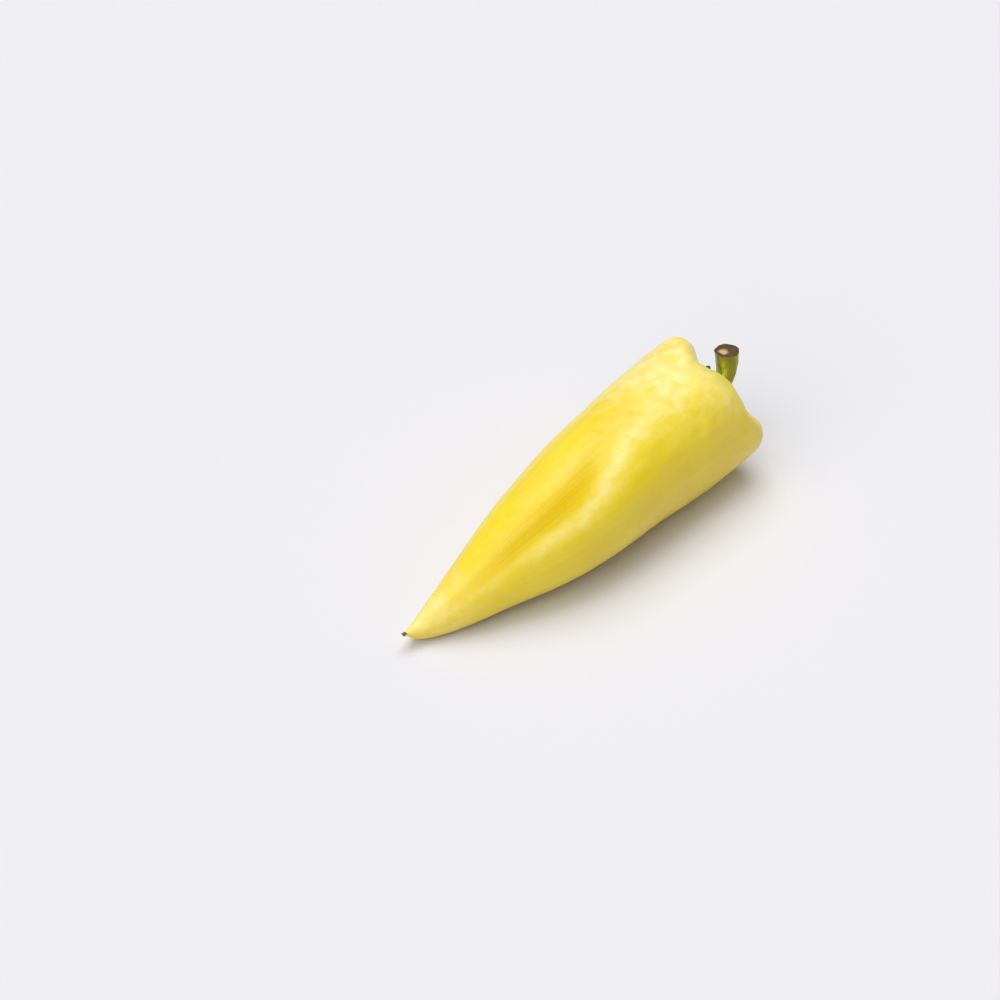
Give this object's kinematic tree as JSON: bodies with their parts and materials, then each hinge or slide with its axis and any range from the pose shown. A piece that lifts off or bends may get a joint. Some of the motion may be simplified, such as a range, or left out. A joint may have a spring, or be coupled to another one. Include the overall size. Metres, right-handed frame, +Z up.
{
  "type": "chilli pepper",
  "caption": "Long waxy yellow chilli pepper, as picked, lying on its side, with lobed shoulder, curved taper, green calyx and short cut stem.",
  "frame": {"origin": "on the surface that the pepper rests on, under the middle of its outline", "axes": "+X along the pepper towards its stem, +Z up; the camera's side is towards -Y"},
  "size_m": [0.1746, 0.053, 0.0491],
  "materials": {
    "skin": "waxy, glossy yellow skin, paler on the lobes and deeper in the furrows",
    "calyx": "dull olive green, leathery, with fine ribs",
    "stem": "satin green, ribbed lengthwise, browned at the cut end",
    "dried_style": "dry, dark olive brown"
  },
  "bodies": {
    "root": {"fruit": "skin", "calyx": "calyx", "stem": "stem", "style_tip": "dried_style"}
  },
  "joints": []
}
